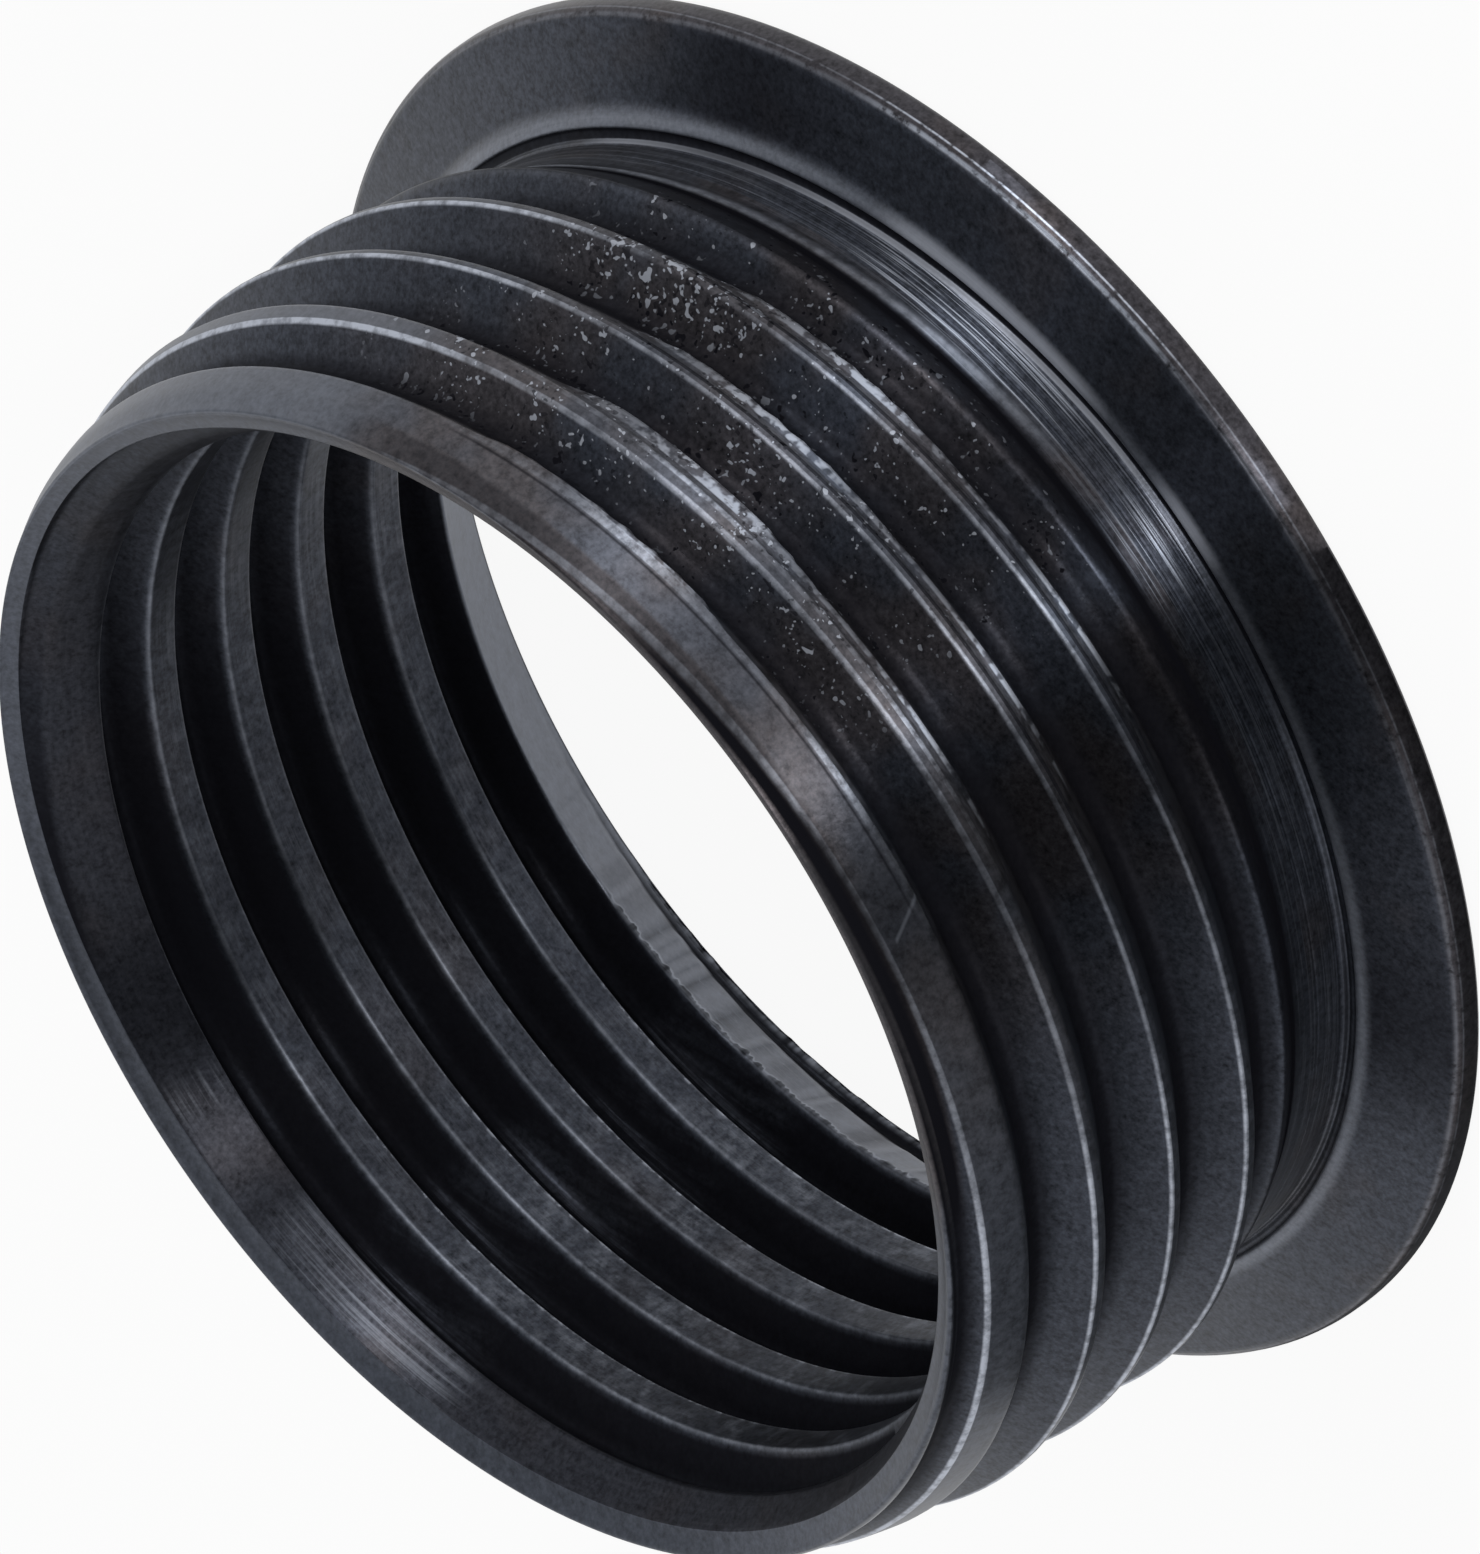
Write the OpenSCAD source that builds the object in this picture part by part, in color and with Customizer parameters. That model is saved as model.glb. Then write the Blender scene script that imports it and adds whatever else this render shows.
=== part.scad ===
// Flanged thread insert for an oxygen sensor port.
// It is one turned steel sleeve with a fine right-hand thread outside and another inside.
// Both threads share one pitch and run in step: each inner groove lies under an outer crest,
// so the thin wall winds up the sleeve at an even thickness.
// The insert stands on its flange face at z = 0, and +Z points to the lead end, which enters first.

/* [Sleeve] */
// Length from the flange face to the lead end
length = 9; // [8.5:0.25:14]
// Diameter of the bore between the inner thread's crests
bore_d = 16.62; // [10:0.02:30]
// Thickness of the neck's wall over the floor of the inner groove
neck_wall = 0.13; // [0.1:0.01:0.6]
// Length of the plain neck
neck_l = 0.96; // [0.9:0.02:1.6]
// Clearance from the neck out to the floor of the outer groove
neck_clear = 0.01; // [0.01:0.01:0.1]
// Angle to the axis of the cone from the neck to the outer thread
runout_angle = 30; // [25:1:45]

/* [Threads] */
// Pitch of both threads
pitch = 1.5; // [1.42:0.02:1.6]
// Angle of each thread flank to the plane across the axis
flank_angle = 30; // [27:0.5:30]
// Depth of the outer groove
outer_depth = 0.72; // [0.6:0.02:0.76]
// Width of the flat land on the outer crests
outer_land = 0.28; // [0.2:0.02:0.36]
// Depth of the inner groove
inner_depth = 0.69; // [0.55:0.01:0.7]
// Width of the flat land on the inner crests
inner_land = 0.5; // [0.4:0.02:0.54]
// Turn of both threads about the axis, in degrees
thread_turn = -47; // [-180:1:180]
// Straight steps in one turn of a thread
steps_per_turn = 48; // [36:6:60]

/* [Flange] */
// How far the flange stands out past the outer crests
flange_reach = 0.99; // [0.5:0.01:4]
// Thickness of the flange at its rim, where the seat ends
rim_h = 0.53; // [0.5:0.01:1.5]
// Radius of the rounded rim edges
rim_round = 0.17; // [0.1:0.01:0.2]
// Fall of the conical sealing seat towards the rim, in degrees
seat_angle = 17; // [0:1:30]

/* [Mouths] */
// Width of the countersink at the lead end, from the inner crests out
lead_sink = 0.51; // [0.3:0.005:0.55]
// Angle to the axis of the countersink at the lead end
lead_sink_angle = 30; // [25:1:45]
// Width of the lip round the lead end
lip_w = 0.38; // [0.3:0.005:0.45]
// Fall of the lip from its outer edge in to the countersink
lip_fall = 0.16; // [0:0.01:0.2]
// Angle to the axis of the long taper that leads the outer thread in
lead_taper_angle = 16; // [14:1:30]
// Width of the countersink at the flange face, from the inner crests out
flange_sink = 0.92; // [0.5:0.01:1]
// Angle to the axis of the countersink at the flange face
flange_sink_angle = 45; // [35:1:50]

/* [Hidden] */
$fn = 96;

// Radii from the bore outwards
inner_r = bore_d / 2;
inner_floor_r = inner_r + inner_depth;
neck_r = inner_floor_r + neck_wall;
outer_floor_r = neck_r + neck_clear;
outer_r = outer_floor_r + outer_depth;
flange_r = outer_r + flange_reach;
flange_mouth_r = inner_r + flange_sink;
lead_mouth_r = inner_r + lead_sink;
lip_r = lead_mouth_r + lip_w;

// The rim is two rings of round section, the upper one tangent to the seat
rim_r = flange_r - rim_round;
rim_top = rim_h - rim_round / cos(seat_angle);

// Heights up the outside, from the flange to the lead end
seat_h = rim_h + (rim_r - neck_r) * tan(seat_angle);
neck_top = seat_h + neck_l;
thread_bottom = neck_top + (outer_r - neck_r) / tan(runout_angle);
thread_top = length - (outer_r - lip_r) / tan(lead_taper_angle);

// How far a groove cutter reaches past the crest that it opens
overshoot = 0.12;

// A straight step's corners stand this much further out than its middle
corner_reach = 1 / cos(180 / steps_per_turn);

outer_groove_w = pitch - outer_land;
inner_groove_w = pitch - inner_land;

// The outer groove starts this far below the neck's top, in the air round the neck
start_drop = pitch / 8;
outer_groove_z = neck_top - start_drop;

// The inner groove starts below the flange face, half a pitch out of step with the outer one
inner_drop = (ceil(outer_groove_z / pitch) + 1 / 2) * pitch;
inner_groove_z = outer_groove_z - inner_drop;

// Section of a groove as [radius, height] corners, from its floor out past the crest
function groove_section(floor_r, crest_r, crest_w) =
    let (
        open_r = crest_r + sign(crest_r - floor_r) * overshoot,
        open_half = crest_w / 2 + overshoot * tan(flank_angle),
        floor_half = crest_w / 2 - abs(crest_r - floor_r) * tan(flank_angle)
    )
    [[floor_r, -floor_half], [open_r, -open_half], [open_r, open_half], [floor_r, floor_half]];

// Corners of that section carried up a helix, step by step
function helix_points(section, z, steps) =
    [for (i = [0 : steps])
        let (turn = i / steps_per_turn, a = thread_turn + 360 * turn)
        for (corner = section)
            [corner[0] * cos(a), corner[0] * sin(a), z + pitch * turn + corner[1]]];

// Two triangles for each side of each step, then the two ends
function helix_faces(steps) =
    let (last = 4 * steps)
    concat(
        [for (i = [0 : steps - 1], side = [0 : 3])
            let (p = 4 * i + side, q = 4 * i + (side + 1) % 4)
            each [[p, q + 4, p + 4], [p, q, q + 4]]],
        [[2, 1, 0], [3, 2, 0], [last, last + 1, last + 2], [last, last + 2, last + 3]]
    );

// One thread groove as a solid, wound from height z to above the lead end
module groove(floor_r, crest_r, crest_w, z) {
    section = groove_section(floor_r, crest_r, crest_w);
    steps = ceil((length + pitch - z) / pitch * steps_per_turn);
    inward = floor_r > crest_r;
    faces = helix_faces(steps);
    polyhedron(
        points = helix_points(section, z, steps),
        faces = inward ? [for (f = faces) [f[0], f[2], f[1]]] : faces
    );
}

// Half section of the turned blank, before the threads are cut
module blank_section() {
    polygon([
        [flange_mouth_r, 0],
        [rim_r, 0],
        [flange_r, rim_round],
        [flange_r, rim_top],
        [rim_r + rim_round * sin(seat_angle), rim_top + rim_round * cos(seat_angle)],
        [neck_r, seat_h],
        [neck_r, neck_top],
        [outer_r, thread_bottom],
        [outer_r, thread_top],
        [lip_r, length],
        [lead_mouth_r, length - lip_fall],
        [inner_r, length - lip_fall - lead_sink / tan(lead_sink_angle)],
        [inner_r, (flange_mouth_r - inner_r) / tan(flange_sink_angle)]
    ]);
    for (h = [rim_round, rim_top])
        translate([rim_r, h]) circle(rim_round);
}

module threaded_insert() {
    color([0.16, 0.16, 0.18])
    difference() {
        rotate_extrude() blank_section();
        groove(outer_floor_r * corner_reach, outer_r, outer_groove_w, outer_groove_z);
        groove(inner_floor_r, inner_r, inner_groove_w, inner_groove_z);
    }
}

threaded_insert();
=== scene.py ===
import math

import bpy
import numpy as np
from mathutils import Matrix, Vector


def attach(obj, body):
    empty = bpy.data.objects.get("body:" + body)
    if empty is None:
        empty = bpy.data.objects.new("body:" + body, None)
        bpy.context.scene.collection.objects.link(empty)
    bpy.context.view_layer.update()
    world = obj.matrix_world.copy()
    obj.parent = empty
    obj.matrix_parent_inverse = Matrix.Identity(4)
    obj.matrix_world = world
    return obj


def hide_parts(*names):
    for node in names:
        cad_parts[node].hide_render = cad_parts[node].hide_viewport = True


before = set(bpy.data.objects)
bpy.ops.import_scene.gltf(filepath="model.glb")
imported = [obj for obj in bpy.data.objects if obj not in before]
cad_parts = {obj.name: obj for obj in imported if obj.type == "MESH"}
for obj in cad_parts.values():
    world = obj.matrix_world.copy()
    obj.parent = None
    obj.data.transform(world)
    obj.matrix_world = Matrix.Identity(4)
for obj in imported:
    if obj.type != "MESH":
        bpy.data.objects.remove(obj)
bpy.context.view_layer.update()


# The sleeve's outer skin: a right-hand M20 x 1.5 thread, cut on a lathe in black steel.
# It runs out on a short cone above the neck, and a long taper leads it in at the other end.
# Its points lie on rows that follow the helix, so each crest edge is one clean line.
MM = 0.001
TURN = 2 * math.pi
STEPS = 240
PITCH = 1.5
FLANK = math.tan(math.radians(30))
GROOVE_Z, GROOVE_ANGLE = 1.7725, math.radians(-48)
STEEP = math.tan(math.radians(42))
CREST_R, OUTER_ROOT_R, LEAD_EDGE, FLANGE_EDGE = 9.86, 9.15, -0.64, 0.7
CREST_SOFT, ROOT_SOFT, CONE_SOFT = 0.04, 0.12, 0.08
LEDGE_R, LEDGE_FOOT, LEDGE_FALL, LEDGE_EDGE = 9.72, 0.42, 0.12, 0.58
BEAD_H, BEAD_LEVEL, BEAD_HALF, BEAD_TOP = 0.05, 0.18, 0.1, 2.5
NECK_R, NECK_TOP, THREAD_FOOT = 9.13, 1.96, 1.66
LIP_R, LIP_Z, LENGTH = 9.2, 8.955, 9.0
LEAD_TAPER, LEAD_ROUND, TAPER_R = math.tan(math.radians(13.4)), math.tan(math.radians(32)), 9.31
OUTER_LEVELS = (-0.75, -0.7, -0.675, -0.655, -0.635, -0.615, -0.58, -0.52, -0.45, -0.41, -0.37,
                -0.33, -0.29, -0.25, -0.2, -0.13, -0.04, 0.05, 0.13, 0.2, 0.25, 0.3, 0.35, 0.39,
                0.43, 0.49, 0.55, 0.61, 0.655, 0.68, 0.7, 0.725)
CUT_CLEAR = 0.006
angles = np.arange(STEPS) * TURN / STEPS


def soft_min(a, b, blend):
    """The smaller of two radii, with their meeting edge rounded."""
    return (a + b - np.sqrt((a - b) ** 2 + blend ** 2)) / 2


def soft_max(a, b, blend):
    """The larger of two radii, with their meeting edge rounded."""
    return -soft_min(-a, -b, blend)


def ramp(value, low, high):
    """A smooth rise from 0 at low to 1 at high."""
    t = np.clip((value - low) / (high - low), 0, 1)
    return t * t * (3 - 2 * t)


def facing(angle):
    """Degrees round the part from the camera's side, from -90 to 270."""
    return (np.degrees(angle) + 180) % 360 - 90


def from_groove(angle, z):
    """Height of a point above the middle of the nearest outer groove."""
    turns = (z - GROOVE_Z) / PITCH - (angle - GROOVE_ANGLE) / TURN
    return (turns - np.round(turns)) * PITCH


def outer_skin(angle, z):
    """Radius of the outer skin, from the neck's top to the lip."""
    level = from_groove(angle, z)
    phi = facing(angle)
    flank = np.maximum((LEAD_EDGE - level) / FLANK, (level - FLANGE_EDGE) / STEEP) + CREST_R
    foot = (LEDGE_FOOT - 0.06 * ramp(phi, 8, 18) - 0.08 * ramp(phi, 10, 18) * ramp(z, 5.9, 6.1)
            + 0.006 * np.sin(phi * 2.3))
    rolled = ramp(phi, -20, -9) * (1 - ramp(phi, 32, 42)) * ramp(level, foot - 0.05, foot) * ramp(z, 2.8, 3.2)
    ledge = LEDGE_R - (LEDGE_EDGE - level) * LEDGE_FALL
    flank = flank + np.maximum(ledge - flank, 0) * rolled * (level < FLANGE_EDGE)
    thread = soft_min(soft_max(flank, OUTER_ROOT_R, ROOT_SOFT), CREST_R, CREST_SOFT)
    thread = thread + 0.2 * (1 - ramp(z, NECK_TOP, NECK_TOP + 0.3))
    runout = NECK_R + (z - NECK_TOP) * FLANK
    taper = soft_min(TAPER_R + (LENGTH - z) * LEAD_TAPER, LIP_R + (LENGTH - z) * LEAD_ROUND, 0.05)
    blank = soft_min(soft_max(runout, NECK_R, CREST_SOFT), taper, 0.03)
    bead = BEAD_H * np.exp(-((level - BEAD_LEVEL) / BEAD_HALF) ** 2)
    bead = bead * ramp(phi, 8, 24) * (1 - ramp(phi, 70, 95)) * (z < BEAD_TOP)
    return soft_min(thread, blank, CONE_SOFT - 0.045 * ramp(z, 2.9, 3.6)) + bead


class Skin:
    """Collects the points and faces of the part's skin, ring by ring."""

    def __init__(self):
        self.points, self.faces, self.zones, self.count = [], [], [], 0

    def add(self, radius, angle, z):
        """Adds points at those radii, angles and heights, and gives their numbers."""
        radius, angle, z = np.broadcast_arrays(radius, angle, z)
        xyz = np.stack([radius * np.cos(angle), radius * np.sin(angle), z], -1)
        self.points.append(xyz.reshape(-1, 3) * MM)
        first, self.count = self.count, self.count + radius.size
        return np.arange(first, self.count).reshape(radius.shape)

    def close(self, a, b, c, d, zone):
        """Faces with those four corners each; where two corners are one point, a triangle or none."""
        for corners in np.stack([a, b, c, d], -1).reshape(-1, 4).tolist():
            face = [p for i, p in enumerate(corners) if p != corners[i - 1]]
            if len(face) > 2:
                self.faces.append(face)
                self.zones.append(zone)

    def band(self, ring, following, zone):
        """Joins two rings of points."""
        self.close(ring, np.roll(ring, -1), np.roll(following, -1), following, zone)

    def lathe(self, ring, profile, zone):
        """Turns a profile of (radius, height) from a ring that is there, and gives the last ring."""
        for radius, z in profile:
            following = self.add(radius, angles, z)
            self.band(ring, following, zone)
            ring = following
        return ring

    def spiral(self, radius_at, row_levels, shift, low, high, zone, inside=False):
        """Covers a threaded skin with rows that follow the helix, cut off level at both ends.
        Gives the level rings at the low and the high end."""
        rows = len(row_levels)
        pitches = np.arange(-2, int((high - low) / PITCH) + 4)
        climb = GROOVE_Z + shift + PITCH * (math.floor((low - GROOVE_Z - shift) / PITCH)
                                            + (angles - GROOVE_ANGLE) / TURN)
        levels = (pitches[:, None] * PITCH + np.array(row_levels)[None, :]).ravel()
        z = climb[:, None] + levels[None, :]
        bottom = self.add(radius_at(angles, low), angles, low)
        top = self.add(radius_at(angles, high), angles, high)
        number = np.where(z < (low + high) / 2, bottom[:, None], top[:, None])
        free = (z > low + CUT_CLEAR) & (z < high - CUT_CLEAR)
        around = np.broadcast_to(angles[:, None], z.shape)
        number[free] = self.add(radius_at(around[free], z[free]), around[free], z[free])
        ahead = np.empty_like(number)
        ahead[:-1] = number[1:]
        ahead[-1, :-rows] = number[0, rows:]
        ahead[-1, -rows:] = top[0]
        a, b, c, d = number[:, :-1], ahead[:, :-1], ahead[:, 1:], number[:, 1:]
        if inside:
            a, b, c, d = d, c, b, a
        self.close(a, b, c, d, zone)
        return bottom, top


OUTSIDE, BORE, FLANGE = 0, 1, 2
skin = Skin()
thread_foot, lead_edge = skin.spiral(outer_skin, OUTER_LEVELS, 0, THREAD_FOOT, LIP_Z, OUTSIDE)


class Socket:
    """A shader socket that takes part in arithmetic: each operator adds a Math node."""

    def __init__(self, tree, link=None):
        self.tree, self.link = tree, link

    def node(self, kind, settings, sockets, output=0):
        """Adds a node: first its settings, then the values or links of its sockets."""
        made = self.tree.nodes.new(kind)
        for name, value in settings.items():
            setattr(made, name, value)
        for name, value in sockets.items():
            if isinstance(value, Socket):
                self.tree.links.new(value.link, made.inputs[name])
            else:
                made.inputs[name].default_value = value
        return Socket(self.tree, made.outputs[output] if len(made.outputs) else None)

    def other(self, output):
        """Another output of the node behind this socket."""
        return Socket(self.tree, self.link.node.outputs[output])

    def math(self, operation, *values):
        """A Math node of that operation on the values."""
        return self.node("ShaderNodeMath", {"operation": operation}, dict(enumerate(values)))

    def __add__(self, value):
        return self.math("ADD", self, value)

    def __sub__(self, value):
        return self.math("SUBTRACT", self, value)

    def __rsub__(self, value):
        return self.math("SUBTRACT", value, self)

    def __mul__(self, value):
        return self.math("MULTIPLY", self, value)

    def __truediv__(self, value):
        return self.math("DIVIDE", self, value)

    def __pow__(self, value):
        return self.math("POWER", self, value)

    def __abs__(self):
        return self.math("ABSOLUTE", self)

    def larger(self, value):
        """The larger of this and the value."""
        return self.math("MAXIMUM", self, value)

    def rise(self, low, high):
        """0 at low, 1 at high, smooth between."""
        return self.node("ShaderNodeMapRange", {"interpolation_type": "SMOOTHSTEP"},
                         {"Value": self, "From Min": low, "From Max": high})

    def near(self, middle, reach):
        """1 at the middle, 0 from its reach outwards."""
        return 1 - abs(self - middle).rise(0, reach)

    def within(self, low, high, soft):
        """1 from low to high, with soft ends outside."""
        return self.rise(low - soft, low) * (1 - self.rise(high, high + soft))

    def tint(self, over, mask):
        """This colour with another one over it where the mask is 1."""
        return self.node("ShaderNodeMix", {"data_type": "RGBA"}, {0: mask, 6: self, 7: over}, 2)

    __radd__, __rmul__ = __add__, __mul__


OXIDE_BLUE = (0.043, 0.048, 0.062, 1)
OXIDE_BROWN = (0.054, 0.047, 0.049, 1)
# The steel colour shows through worn oxide and also paints highlights; the near-black is for pits and painted
# shade; the grey is for worn spots and painted light on faces turned from the lamps.
BARE_STEEL_AND_HIGHLIGHT = (0.42, 0.45, 0.52, 1)
SOOT_AND_SHADE = (0.006, 0.006, 0.008, 1)
DULL_STEEL_AND_LIT_GREY = (0.24, 0.25, 0.28, 1)


class Place:
    """Where a point of the skin is, in mm, and the noises that its finish is made from."""

    def __init__(self, start):
        self.start = start
        metres = start.node("ShaderNodeTexCoord", {}, {}, "Object")
        self.spot = start.node("ShaderNodeVectorMath", {"operation": "SCALE"}, {0: metres, "Scale": 1 / MM})
        x = start.node("ShaderNodeSeparateXYZ", {}, {0: self.spot})
        y, self.z = x.other("Y"), x.other("Z")
        self.radius = (x * x + y * y) ** 0.5
        self.turn = start.math("ARCTAN2", y, x) * (360 / TURN) + 90
        turns = (self.z - GROOVE_Z) / PITCH - (self.turn - 90) / 360 + GROOVE_ANGLE / TURN + 0.5
        self.level = (start.math("FRACT", turns) - 0.5) * PITCH
        self.cloud = self.noise(self.spot, 0.55, 2.0)
        self.mottle = self.noise(self.spot, 5.0, 3.0, 0.65)
        self.fine = self.noise(self.spot, 13.0, 2.0, 0.6)
        turned = start.node("ShaderNodeCombineXYZ", {}, {
            0: x * 0.3, 1: y * 0.3, 2: (self.z - self.radius * 0.45) * 22})
        self.lines = self.noise(turned, 1.0, 3.0, 0.6)

    def noise(self, vector, scale, detail=3.0, rough=0.55):
        """A noise over those coordinates, about 0.5."""
        return self.start.node("ShaderNodeTexNoise", {}, {
            "Vector": vector, "Scale": scale, "Detail": detail, "Roughness": rough})


def black_oxide(name, wear_and_painted_light, grain):
    """Black oxide on turned steel, blue-grey with brown clouds. wear_and_painted_light(place) gives what one skin
    adds:
    worn-through steel and painted highlights, brown, near-black marks and painted shade, matt grey worn spots and
    painted light, and satin (roughness). grain is the depth of its turning lines."""
    material = bpy.data.materials.new(name)
    material.use_nodes = True
    material.node_tree.nodes.clear()
    start = Socket(material.node_tree)
    place = Place(start)
    bare_and_highlight, brown, dirt_and_painted_shade, rubbed_and_lit, satin = wear_and_painted_light(place)
    oxide = start.node("ShaderNodeMix", {"data_type": "RGBA"}, {
        0: brown, 6: OXIDE_BLUE, 7: OXIDE_BROWN}, 2)
    shade = (place.mottle - 0.5) * 1.3 + (place.fine - 0.5) * 1.8 + 0.95
    oxide = start.node("ShaderNodeVectorMath", {"operation": "SCALE"}, {0: oxide, "Scale": shade})
    height = place.lines * grain + place.mottle * 0.15 + place.fine * 0.2
    bump = start.node("ShaderNodeBump", {}, {"Strength": 0.6, "Distance": 0.012 * MM, "Height": height})
    steel = start.node("ShaderNodeBsdfPrincipled", {}, {
        "Base Color": oxide.tint(BARE_STEEL_AND_HIGHLIGHT, bare_and_highlight),
        "Metallic": 0.93,
        "Roughness": satin + 0.35 + (place.mottle - 0.5) * 0.12,
        "Anisotropic": 0.8,
        "Anisotropic Rotation": 0.25,
        "Normal": bump})
    # Painted light and shade are mixed in here: the near-black covers pits and painted shade, the matt grey worn
    # spots and painted light.
    soot_and_shade = start.node("ShaderNodeBsdfDiffuse", {}, {"Color": SOOT_AND_SHADE})
    dull_and_lit = start.node("ShaderNodeBsdfDiffuse", {}, {"Color": DULL_STEEL_AND_LIT_GREY, "Normal": bump})
    worn = start.node("ShaderNodeMixShader", {}, {0: rubbed_and_lit, 1: steel, 2: dull_and_lit})
    start.node("ShaderNodeOutputMaterial", {}, {
        "Surface": start.node("ShaderNodeMixShader", {}, {0: dirt_and_painted_shade, 1: worn, 2: soot_and_shade})})
    return material


# Where the narrow lamp's streak falls, in degrees round from the camera's side; highlights are painted there.
STREAK_TURN, STREAK_HALF = -3, 6
LEDGE_TURN = (-14, 34)


def thread_wear_and_painted_light(place):
    """Crests and lead taper worn satin with bright edges, flakes of steel showing through, a brown lip. Highlights
    are painted at the two lamps' streaks and on the edges at left and right; shade is painted in the roots, on the
    run-out cone and across the front.
    """
    taper_end, round_end = TAPER_R + LENGTH * LEAD_TAPER, LIP_R + LENGTH * LEAD_ROUND
    taper = (place.radius + place.z * LEAD_TAPER).rise(taper_end - 0.06, taper_end - 0.03)
    taper = taper.larger((place.radius + place.z * LEAD_ROUND).rise(round_end - 0.06, round_end - 0.03))
    crest = taper.larger(place.radius.rise(CREST_R - 0.06, CREST_R - 0.02))
    depth = CREST_R - place.radius
    past_lead = LEAD_EDGE - place.level + depth * FLANK
    past_flange = place.level - FLANGE_EDGE + depth * STEEP
    upper = past_lead.within(0.0, 0.035, 0.02) * crest
    lower = past_flange.near(0.0, 0.06) * crest
    # Painted highlights where the two lamps' streaks fall, at -3 and 23 degrees round from the camera's side.
    painted_glints = place.turn.near(STREAK_TURN, STREAK_HALF) + place.turn.near(23, 9) * 0.9
    ledge = past_flange.within(-0.26, -0.07, 0.03) * place.radius.rise(9.5, 9.58)
    ledge = ledge * place.turn.within(*LEDGE_TURN, 10)
    # Painted shade on the lower part of the crest flats that face the camera.
    painted_flat_shade = past_flange.within(-0.02, 0.07, 0.03) * crest * place.turn.within(-16, 36, 10) * (1 - taper)
    under = past_flange.near(0, 0.05) * place.level.rise(0.1, 0.2) * place.turn.within(*LEDGE_TURN, 16)
    # Left and right of the camera's side, where crest edges and the lip are painted brighter.
    painted_lit_sides = 1 - place.turn.within(-36, 42, 14)
    flat = past_lead.larger(past_flange).rise(0.0, 0.05) * crest
    shelf = taper * place.turn.within(-12, 38, 8)
    # Painted shade: a dark line along the lower edge of the taper's front.
    groove = past_flange.near(0.15, 0.045) * shelf
    on_cone = (place.z - NECK_TOP - (place.radius - NECK_R) / FLANK).near(0, 0.14)
    ridge = place.level.near(BEAD_LEVEL, 0.16) * place.turn.within(16, 74, 10) * (1 - place.z.rise(2.2, 2.3))
    foot = (1 - place.z.rise(1.9, 2.0)) * (1 - ridge)
    lip = place.z.rise(8.78, 8.84) * (1 - place.radius.rise(9.15, 9.19))
    scratch = (place.turn + 17.2 - (8.45 - place.z + place.turn * (PITCH / 360)) * 4.5).near(0, 0.35) * taper
    scratch = scratch * place.z.within(7.9, 8.45, 0.05)
    brow = place.z.rise(8.6, 8.7) * (1 - painted_lit_sides)
    middle = place.turn.within(-15, 45, 25)
    specked = place.turn.within(8, 48, 14) * place.z.within(2.8, 7.2, 0.8)
    bunched = place.noise(place.spot, 1.1, 1.0).rise(0.38, 0.62) * 0.09
    dense = place.turn.near(40, 18) * place.z.near(4.0, 0.9)
    flakes = (place.noise(place.spot, 6.0, 1.0) + dense * 0.09 + bunched * 0.6).rise(0.73, 0.77)
    grit = (place.noise(place.spot, 11.0, 1.0) + dense * 0.06 + bunched).rise(0.75, 0.80)
    specks = flakes.larger(grit * 0.8) * specked
    pits = (place.noise(place.spot, 8.0, 1.0) + dense * 0.08 + bunched).rise(0.72, 0.76) * specked * (1 - specks)
    worn = place.mottle.rise(0.25, 0.75)
    torn = place.noise(place.spot, 4.5, 2.0).rise(0.4, 0.58)
    # Partly real, partly painted: crest edges painted brighter at left and right; the shelf, ledge and neck lines
    # painted bright at the lamps' streaks; the ridge painted bright from 48 to 72 degrees, the taper from 58 to
    # 100, the lip at left and right. Worn edges, flakes, flats and a scratch are real.
    bare_and_highlight = (upper * (worn * 0.3 + 0.12) * (painted_lit_sides * 1.8 + 1) * (1 - dense * place.cloud.rise(0.4, 0.5))
            + taper * place.turn.within(58, 100, 12) * 0.12
            + lower * worn * 0.15 * painted_lit_sides
            + past_flange.within(-0.05, 0.08, 0.03) * shelf * worn * 0.5 * (painted_glints + 0.3)
            + ledge * (torn * 0.8 + 0.06) * (painted_glints + 0.25)
            + flat * (worn * 0.05 + place.lines * 0.04) + taper * 0.02
            + ridge * (worn * 0.25 + 0.2) * (place.turn.within(48, 72, 8) * 0.8 + 1)
            + foot * place.lines.rise(0.5, 0.65) * (painted_glints * 0.9 + 0.12)
            + specks * 0.9 + lip * painted_lit_sides * 0.08 + scratch * 0.35)
    brown = middle * place.cloud.rise(0.35, 0.6) * 0.7 + (lip + brow + taper * place.cloud * 0.5) * (1 - painted_lit_sides)
    # Painted shade: black in the outer roots, on the run-out cone, on the lower crest flats and along the taper's
    # lower edge facing the camera, and on the neck's top past 40 degrees; darker under the lip in the middle; the
    # pits are real.
    dirt_and_painted_shade = ((1 - place.radius.rise(9.16, 9.4)) * place.z.rise(1.95, 2.1) * (1 - lip) * (1 - taper) * (1 - under)
            * (1 - ridge) * 0.8 + on_cone * place.z.rise(2.0, 2.15) * (1 - ridge) * 0.55 + painted_flat_shade * 0.7 + pits * 0.6
            + brow * (1 - lip) * 0.5 + groove * 0.7 + foot * place.turn.rise(40, 70) * 0.35)
    # Painted light: the under-flank and the ledge lit matt grey at the lamps' streaks, and the lip's front greyed;
    # the specks are real.
    rubbed_and_lit = (under * (worn * 0.2 + 0.03) * (painted_glints + 0.3) + ledge * torn * 0.5 * (painted_glints + 0.25)
              + lip * (1 - painted_lit_sides) * 0.12 + specks * 0.5)
    satin = flat * 0.05
    return bare_and_highlight, brown, dirt_and_painted_shade, rubbed_and_lit, satin


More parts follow.
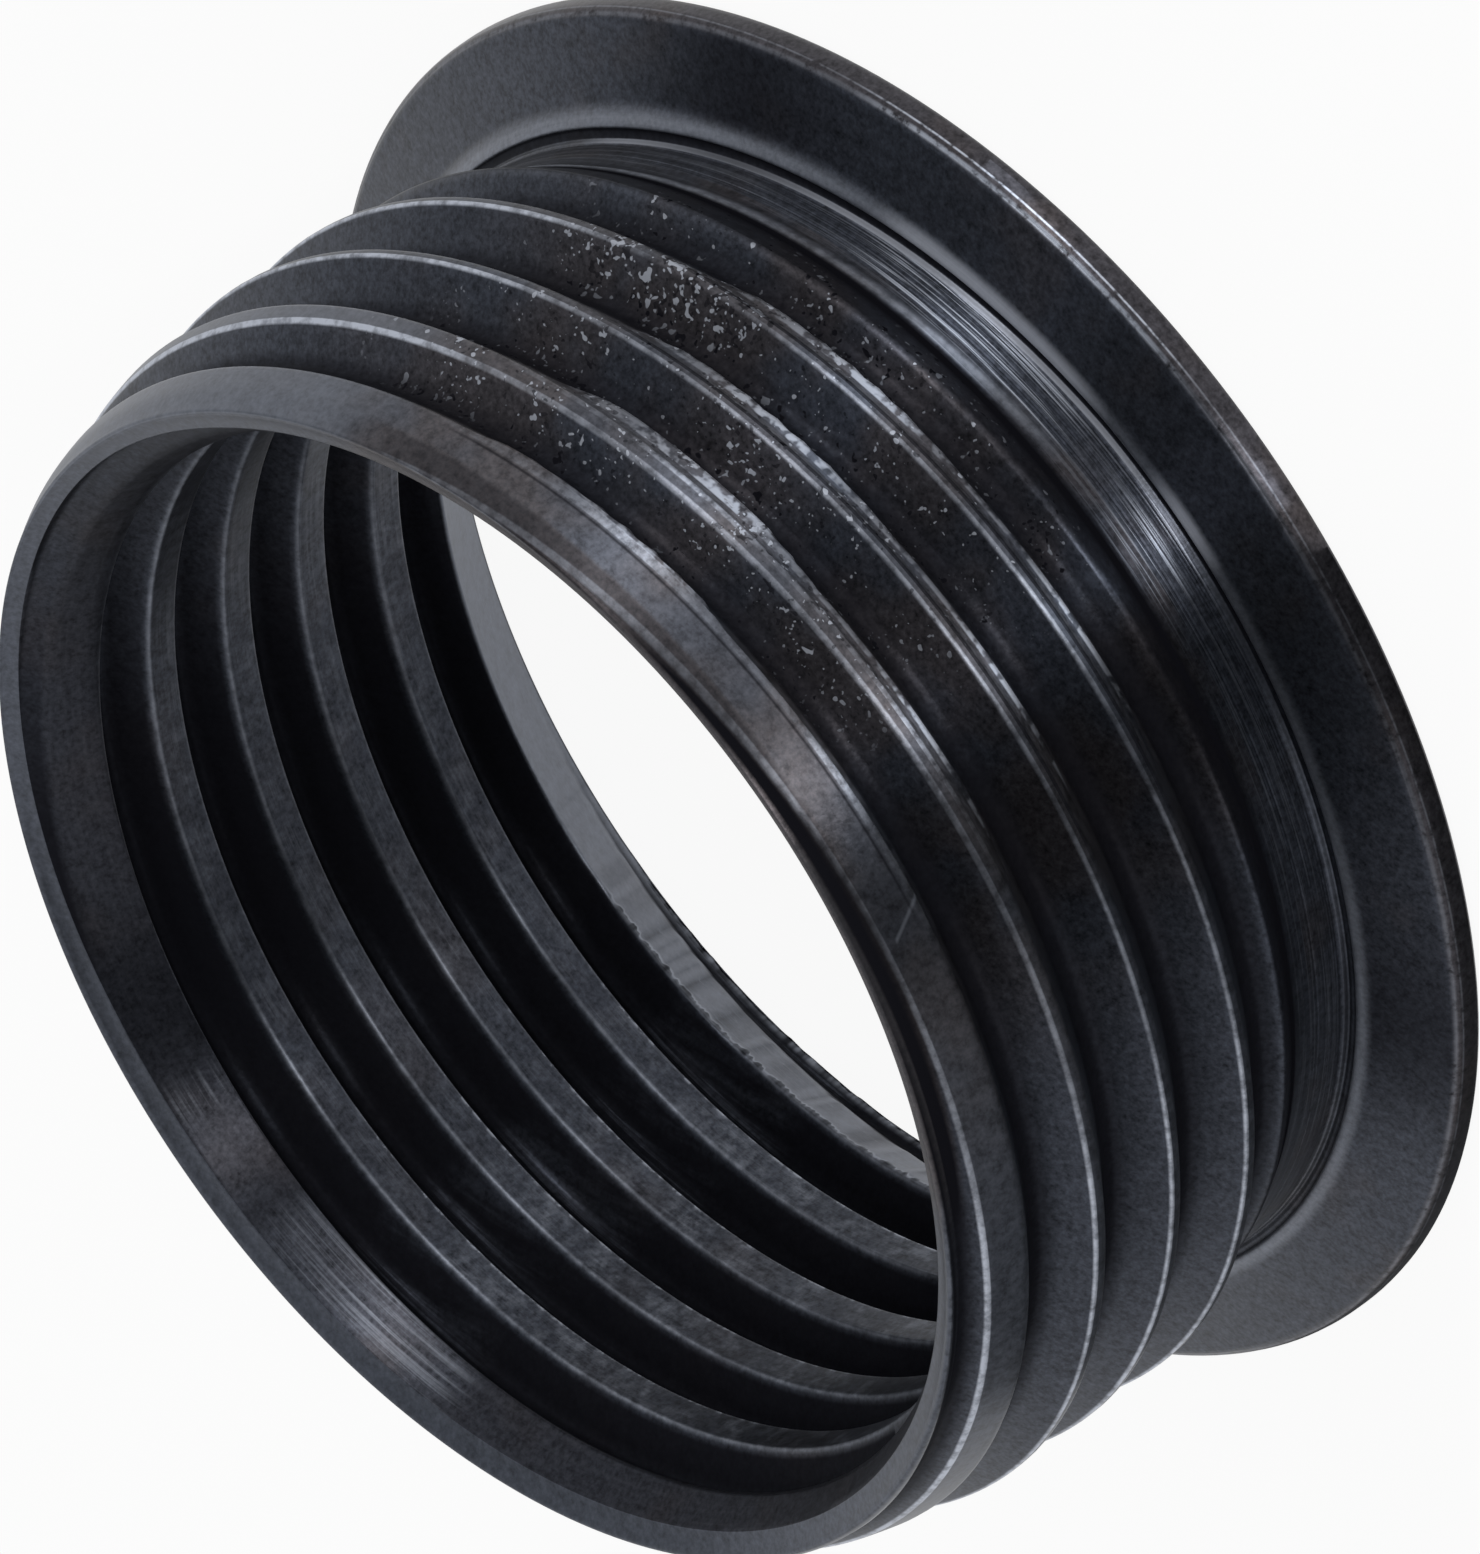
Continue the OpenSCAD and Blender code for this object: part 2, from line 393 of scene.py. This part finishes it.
thread_steel = black_oxide("thread_steel", thread_wear_and_painted_light, 0.2)


# The bore: a right-hand M18 x 1.5 thread in step with the outer one, so each groove lies under a crest.
# Its broad flat lands are left by the drill. A steep countersink opens each end, with a torn burr along
# the far one, and a narrow turned lip joins the two skins at the lead end.
LAND_R, INNER_ROOT_R, INNER_HALF = 8.31, 8.98, 0.5
LEAD_MOUTH_R, FAR_MOUTH_R = 8.91, 9.02
FAR_EDGE_Z, NEAR_EDGE_Z = 0.03, 8.84
LAND_HALF = PITCH / 2 - INNER_HALF
BURR_TURN = (185, 232, 8)
INNER_LEVELS = (-0.75, -0.62, -0.55, -0.52, -0.5, -0.48, -0.45, -0.38, -0.29, -0.2, -0.13, -0.06,
                0.02, 0.1, 0.2, 0.29, 0.38, 0.45, 0.48, 0.5, 0.52, 0.55, 0.62)
LIP_STEPS = ((0.03, 0.025), (0.08, 0.04), (0.16, 0.045), (0.35, 0.0), (0.6, -0.055), (0.85, -0.095),
             (0.95, -0.105))
ragged = np.random.default_rng(3).uniform(-0.03, 0.03, STEPS)
ragged = ragged * ramp(np.cos(angles - math.radians(115)), 0.7, 0.95)


def inner_skin(angle, z):
    """Radius of the bore, from the flange face to the lip."""
    away = np.abs(from_groove(angle, z - PITCH / 2))
    flank = LAND_R + (INNER_HALF - away) / FLANK
    thread = soft_max(soft_min(flank, INNER_ROOT_R, 0.09), LAND_R, 0.025)
    lead = LEAD_MOUTH_R - (LENGTH - z) * FLANK
    far = FAR_MOUTH_R - z * FLANK + ragged[np.round(angle / TURN * STEPS).astype(int) % STEPS]
    return soft_max(soft_max(thread, lead, 0.02), far, 0.02)


far_edge, near_edge = skin.spiral(inner_skin, INNER_LEVELS, PITCH / 2, FAR_EDGE_Z, NEAR_EDGE_Z, BORE, True)
outer_lip, inner_lip = outer_skin(angles, LIP_Z), inner_skin(angles, NEAR_EDGE_Z)
ring = lead_edge
for share, above in LIP_STEPS:
    following = skin.add(outer_lip + (inner_lip - outer_lip) * share, angles, LIP_Z + above)
    skin.band(ring, following, OUTSIDE)
    ring = following
skin.band(ring, near_edge, OUTSIDE)


def bore_wear_and_painted_light(place):
    """Lands worn grey with bright edges, grooves in painted shade, brush-marked countersinks with painted streaks
    of light, a burr at the far one.
    """
    away = abs(place.level)
    lead_foot = LEAD_MOUTH_R - LENGTH * FLANK
    lead_sink = (place.radius - place.z * FLANK).near(lead_foot, 0.07)
    far_sink = (place.radius + place.z * FLANK).near(FAR_MOUTH_R, 0.07)
    thread = (1 - lead_sink) * (1 - far_sink)
    land = (1 - place.radius.rise(8.33, 8.37)) * thread
    edge = (place.level.near(LAND_HALF, 0.05) + place.level.near(-LAND_HALF, 0.04) * 0.5) * thread
    flank_r = LAND_R + (away - LAND_HALF) / FLANK
    around = place.start.node("ShaderNodeCombineXYZ", {}, {0: place.turn * 0.6})
    teeth = place.noise(around, 1.0, 2.0).rise(0.35, 0.65) * place.turn.within(*BURR_TURN)
    beyond = FAR_MOUTH_R - place.z * FLANK - flank_r - teeth * 0.3
    inward = far_sink * place.level.rise(0.1, 0.2)
    gnawed = (1 - beyond.rise(-0.02, 0.03)) * inward * teeth
    burr = beyond.near(0.06, 0.11) * inward * place.turn.within(*BURR_TURN)
    streaks = place.lines.rise(0.4, 0.75)
    patch = place.noise(place.spot, 1.6).rise(0.3, 0.7)
    # Painted highlight: the streak on the lead countersink from 190 to 209 degrees, and another at 173 in the code
    # below.
    painted_streak = place.turn.within(190, 209, 5)
    torn = place.level.near(-LAND_HALF, 0.06) * place.turn.within(190, 240, 8)
    torn = torn * place.mottle.rise(0.5, 0.62) * thread
    # Lands lighter from 190 degrees on: partly real scuffs, partly painted highlight.
    rubbing_and_highlight = place.mottle.rise(0.35, 0.8) * (place.turn.rise(190, 215) * 0.22 + 0.08)
    bare_and_highlight = (land * (streaks * 0.1 + rubbing_and_highlight) * patch
            + edge * place.mottle * 0.45 + torn * 0.5
            + lead_sink * streaks * (painted_streak * 0.3 + place.turn.near(173, 3) * 0.25 + 0.03)
            + far_sink * (place.mottle * 0.18 + 0.2) + burr * 0.4)
    brown = place.cloud.rise(0.5, 0.75) * 0.3 + lead_sink * place.cloud * 0.3
    # Painted shade: grooves black, less so in the lamp's streak and from 110 to 145 degrees; the lead countersink
    # darker outside its streak, the lands darker near 160 degrees. The far countersink is darker at its bottom
    # edge.
    shaded = 0.9 - place.turn.within(195, 207, 4) * streaks * 0.6 - (1 - place.turn.rise(110, 145)) * 0.5
    dirt_and_painted_shade = (place.radius.rise(8.34, 8.46) * thread * shaded + lead_sink * (1 - painted_streak) * 0.4
            + far_sink * (1 - place.z.rise(0.03, 0.08)) * 0.7
            + land * place.turn.near(160, 30) * 0.2 + gnawed * 0.9)
    rubbed_and_lit = burr * 0.25 + far_sink * 0.1
    satin = land * 0.06 + lead_sink * 0.06
    return bare_and_highlight, brown, dirt_and_painted_shade, rubbed_and_lit, satin


bore_steel = black_oxide("bore_steel", bore_wear_and_painted_light, 0.25)


# The flange: a thin collar turned with the sleeve. Its flat face takes the sensor's gasket, the rim is
# rounded, and the conical seat closes the port. A narrow burnished strip, with highlights painted on it, and a
# fine corner groove, with shade painted in it, lie at the foot of the plain neck, which carries turning lines.
FACE = ((9.03, 0.008), (9.06, 0.0), (9.6, 0.0), (10.2, 0.0), (10.66, 0.0))
RIM = ((10.74, 0.012), (10.8, 0.05), (10.838, 0.11), (10.85, 0.18), (10.85, 0.34), (10.842, 0.40),
       (10.82, 0.455), (10.79, 0.49), (10.775, 0.496), (10.765, 0.51), (10.735, 0.538), (10.68, 0.558))
SEAT = ((10.62, 0.576), (10.3, 0.675), (9.95, 0.783), (9.66, 0.874), (9.62, 0.888))
STRIP = ((9.58, 0.901), (9.54, 0.915), (9.49, 0.933), (9.45, 0.947), (9.41, 0.96), (9.375, 0.97),
         (9.345, 0.972), (9.325, 0.966), (9.31, 0.95))
CORNER = ((9.29, 0.925), (9.25, 0.91), (9.215, 0.908), (9.185, 0.916), (9.167, 0.935), (9.157, 0.964),
          (9.152, 0.995), (9.142, 1.015), (9.13, 1.025))
LINES, LINE_DEPTH = 12, 0.012
CLIMB, CLIMB_START, CLIMB_STOP, CLIMB_FADE = 0.0042, 8, 68, (90, 160)
STRIP_R, STRIP_W = 9.6, 0.4
GAP_R, GAP_HALF, GAP_FILL = 9.23, 0.06, 0.8
NECK_FOOT = 1.0
# The turns where the thin line at the neck's foot is painted bright.
LINE_HIGHLIGHT_TURN = (6, 66, 8)
phi = facing(angles)
climb = CLIMB * (np.clip(phi, CLIMB_START, CLIMB_STOP) - CLIMB_START) * (1 - ramp(phi, *CLIMB_FADE))
neck_z = np.linspace(NECK_FOOT + 0.045, THREAD_FOOT - 0.015, 3 * LINES)
ridges = np.random.default_rng(5).uniform(0.15, 1.0, LINES)
neck_r = NECK_R - LINE_DEPTH * np.repeat(ridges, 3) * np.tile((0.1, 1.0, 0.6), LINES)
shut = 1 - ramp(phi, -25, 6) * (1 - ramp(phi, *CLIMB_FADE))
foot_rings = [(r, z + climb * min((STRIP_R - r) / STRIP_W, 1) + shut * max(GAP_HALF - abs(r - GAP_R), 0) * GAP_FILL)
              for r, z in STRIP + CORNER]
neck_rings = [(r, z + climb * (THREAD_FOOT - z) / (THREAD_FOOT - NECK_FOOT)) for r, z in zip(neck_r, neck_z)]
ring = skin.lathe(far_edge, FACE + RIM + SEAT, FLANGE)
ring = skin.lathe(ring, foot_rings, FLANGE)
ring = skin.lathe(ring, neck_rings, FLANGE)
skin.band(ring, thread_foot, FLANGE)


def flange_wear_and_painted_light(place):
    """A mottled strip at the neck's foot, turning lines on the neck, worn edges along the rim. Highlights are
    painted on the strip, the line, the neck and the rim at the lamps' streaks; shade is painted in the gap, on the
    neck's far side and on the seat.
    """
    turn = place.turn
    climbed = (turn.math("MINIMUM", turn, CLIMB_STOP) - CLIMB_START).larger(0)
    climbed = climbed * CLIMB * (1 - turn.rise(*CLIMB_FADE))
    # Painted highlights where the two lamps' streaks fall.
    painted_glints = turn.near(STREAK_TURN, STREAK_HALF) + turn.within(14, 30, 7) * 0.8
    strip = place.radius.rise(9.3, 9.32) * (1 - place.radius.rise(9.42, 9.6)) * place.z.within(0.85, 1.2, 0.02)
    gap = place.radius.within(9.18, 9.29, 0.02) * place.z.rise(0.8, 0.85)
    line = place.radius.within(9.14, 9.165, 0.008) * (place.z - climbed).within(0.94, 1.01, 0.02)
    neck = (place.z - climbed).rise(1.0, 1.04) * (1 - place.radius.rise(9.15, 9.17))
    rim = place.radius.rise(10.72, 10.8)
    seat = (1 - strip) * (1 - neck) * (1 - rim) * (1 - gap)
    # Rim lines partly worn bright, and painted brighter from 12 to 34 degrees.
    scraped_and_highlit = turn.within(12, 34, 8) * 0.9 + 0.2
    # Painted highlights on the strip and neck lines at the streaks, on the line from 6 to 66 degrees, a trace on
    # the seat's front, and on the rim lines; the rest of the strip's brightness is real.
    bare_and_highlight = (strip * (place.lines * 0.14 + place.fine * 0.16 + 0.12) + strip * painted_glints * (place.lines * 0.6 + 0.3)
            + line * (turn.within(*LINE_HIGHLIGHT_TURN) * 0.3 + 0.05)
            + neck * place.lines.rise(0.5, 0.65) * (painted_glints * 0.9 + 0.12)
            + seat * turn.within(-15, 32, 12) * 0.02
            + (place.z.near(0.5, 0.045) + place.z.near(0.4, 0.025)) * rim * place.mottle.rise(0.3, 0.55) * scraped_and_highlit)
    brown = place.cloud.rise(0.5, 0.7) * 0.4 + rim * 0.6
    # Painted shade in the corner gap, most from -10 to 100 degrees, on the neck past 40 degrees and on the seat
    # near 52 degrees either way.
    dirt_and_painted_shade = (gap * (turn.within(-10, 100, 16) * 0.6 + 0.2) + neck * turn.rise(40, 70) * 0.35
            + seat * abs(turn).near(52, 16) * 0.6)
    # Painted light: the strip and the line greyed where they are lit.
    rubbed_and_lit = strip * painted_glints * 0.5 + line * turn.within(*LINE_HIGHLIGHT_TURN) * 0.4
    satin = strip * 0.05 + neck * 0.03
    return bare_and_highlight, brown, dirt_and_painted_shade, rubbed_and_lit, satin


flange_steel = black_oxide("flange_steel", flange_wear_and_painted_light, 0.2)
mesh = bpy.data.meshes.new("thread_insert")
mesh.from_pydata(np.concatenate(skin.points).tolist(), [], skin.faces)
mesh.polygons.foreach_set("material_index", skin.zones)
mesh.polygons.foreach_set("use_smooth", [True] * len(skin.faces))
for steel in (thread_steel, bore_steel, flange_steel):
    mesh.materials.append(steel)
mesh.validate()
mesh.update()
insert = bpy.data.objects.new("thread_insert", mesh)
bpy.context.scene.collection.objects.link(insert)
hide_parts("threaded_insert")
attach(insert, "root")


# The floor: a plain white table, matt and unmarked, just under the flange that the part stands on.
# It shows white to the camera and in reflections, and keeps the part's shadow.
FLOOR_HALF, FLOOR_DROP, FLOOR_GLOW = 3.0, 0.00001, 0.92
floor_mesh = bpy.data.meshes.new("floor")
floor_mesh.from_pydata([(sx * FLOOR_HALF, sy * FLOOR_HALF, -FLOOR_DROP)
                        for sx, sy in ((-1, -1), (1, -1), (1, 1), (-1, 1))], [], [(0, 1, 2, 3)])
floor = bpy.data.objects.new("floor", floor_mesh)
bpy.context.scene.collection.objects.link(floor)
paint = bpy.data.materials.new("white_table")
paint.use_nodes = True
paint.node_tree.nodes.clear()
table = Socket(paint.node_tree)


def in_sight(start):
    """1 for the camera and in reflections, 0 for the light that falls on things."""
    path = start.node("ShaderNodeLightPath", {}, {}, "Is Camera Ray")
    return path.larger(path.other("Is Glossy Ray").larger(path.other("Is Transmission Ray")))


matt = table.node("ShaderNodeBsdfDiffuse", {}, {"Color": (0.85, 0.85, 0.85, 1)})
white = table.node("ShaderNodeEmission", {}, {"Color": (1, 1, 1, 1), "Strength": 1.0})
mixed = table.node("ShaderNodeMixShader", {}, {0: in_sight(table) * FLOOR_GLOW, 1: matt, 2: white})
table.node("ShaderNodeOutputMaterial", {}, {"Surface": mixed})
floor_mesh.materials.append(paint)


# The light: two tall soft boxes on the camera's side, one broad and one narrow, in a plain white room.
# Each box draws one long highlight down the part's front.
def soft_box(name, azimuth, elevation, distance, width, height, watts):
    """An area lamp aimed at the part. Azimuth runs from the camera's side towards +X."""
    lamp = bpy.data.lights.new(name, "AREA")
    lamp.shape = "RECTANGLE"
    lamp.size, lamp.size_y, lamp.energy = width, height, watts
    box = bpy.data.objects.new(name, lamp)
    bpy.context.scene.collection.objects.link(box)
    a, e = math.radians(azimuth), math.radians(elevation)
    back = Vector((math.sin(a) * math.cos(e), -math.cos(a) * math.cos(e), math.sin(e)))
    box.location = Vector((0, 0, LENGTH / 2 * MM)) + back * distance
    box.rotation_mode = "QUATERNION"
    box.rotation_quaternion = (-back).to_track_quat("-Z", "Y")


soft_box("key_box", 41, 16, 0.5, 0.07, 0.5, 0.7)
soft_box("strip_box", -3.7, 16, 0.5, 0.022, 0.5, 1.0)
world = bpy.data.worlds.new("white_room")
bpy.context.scene.world = world
world.use_nodes = True
world.node_tree.nodes.clear()
room = Socket(world.node_tree)
sky = room.node("ShaderNodeBackground", {}, {"Color": (1, 1, 1, 1), "Strength": in_sight(room) * 0.4 + 0.6})
room.node("ShaderNodeOutputWorld", {}, {"Surface": sky})


# Cards that only reflections see. The dark ones on the camera's side and overhead keep the front dark.
# Two lit strips on the table give it the narrow streaks of light that the photograph shows.
CARD_R, CARD_Z, STREAK_L = 0.75, 0.0001, 0.04


def card_paint(name, strength):
    """A plain glow of that strength."""
    paint = bpy.data.materials.new(name)
    paint.use_nodes = True
    paint.node_tree.nodes.clear()
    start = Socket(paint.node_tree)
    glow = start.node("ShaderNodeEmission", {}, {"Color": (0.9, 0.95, 1.0, 1), "Strength": strength})
    start.node("ShaderNodeOutputMaterial", {}, {"Surface": glow})
    return paint


def add_card(name, corners, paint):
    """A sheet through pairs of corners."""
    sheet = bpy.data.meshes.new(name)
    sheet.from_pydata(corners, [], [(i, i + 1, i + 3, i + 2) for i in range(0, len(corners) - 2, 2)])
    sheet.materials.append(paint)
    card = bpy.data.objects.new(name, sheet)
    bpy.context.scene.collection.objects.link(card)
    card.visible_camera = card.visible_diffuse = card.visible_shadow = card.visible_transmission = False


def arch(low, high, left, right):
    """Corners of a sheet that bends over the part, from one elevation to another."""
    return [(x, -CARD_R * math.cos(a), CARD_R * math.sin(a))
            for a in np.radians(np.linspace(low, high, 12)) for x in (left, right)]


def fan(first, last, near, far):
    """Corners of a sheet on the table, between two azimuths."""
    return [(reach * math.sin(a), -reach * math.cos(a), CARD_Z)
            for a in np.radians(np.linspace(first, last, 6)) for reach in (near, far)]


def streak(start, azimuth, near, far):
    """Corners of a strip on the table that runs away from the part and widens."""
    a = math.radians(azimuth)
    return [(start[0] * MM + reach * math.sin(a) + side * half * math.cos(a),
             start[1] * MM - reach * math.cos(a) + side * half * math.sin(a), 2 * CARD_Z)
            for reach, half in ((0, near), (STREAK_L, far)) for side in (-1, 1)]


black_card, grey_card = card_paint("black_card", 0.1), card_paint("grey_card", 0.45)
lit_strip, lit_glow = card_paint("lit_strip", 3.2), card_paint("lit_glow", 2.4)
add_card("front_card", arch(0, 97, -0.6, 0.12), black_card)
add_card("side_card", arch(50, 140, 0.12, 0.6), grey_card)
add_card("table_card", fan(-110, -10, 0.0108, 0.75), black_card)
add_card("table_strip", streak((-0.75, -10.95), -6, 0.0004, 0.002), lit_strip)
add_card("table_glow", streak((4.3, -10.1), 45, 0.001, 0.0035), lit_glow)


# The camera: a long lens from the lead end, rolled as the photograph is. It was fitted to the part's rims
# and crest lines.
lens = bpy.data.cameras.new("camera")
lens.lens, lens.sensor_width = 949.27, 36
lens.clip_start, lens.clip_end = 0.05, 20
camera = bpy.data.objects.new("camera", lens)
bpy.context.scene.collection.objects.link(camera)
right, down, ahead = (-0.57964, -0.43007, -0.69215), (-0.81488, 0.30591, 0.49233), (0, 0.84939, -0.52777)
eye = (0.224, -485.96, 305.36)
camera.matrix_world = Matrix([(right[i], -down[i], -ahead[i], eye[i] * MM) for i in range(3)] + [(0, 0, 0, 1)])
bpy.context.scene.camera = camera
bpy.context.scene.view_settings.view_transform = "Standard"
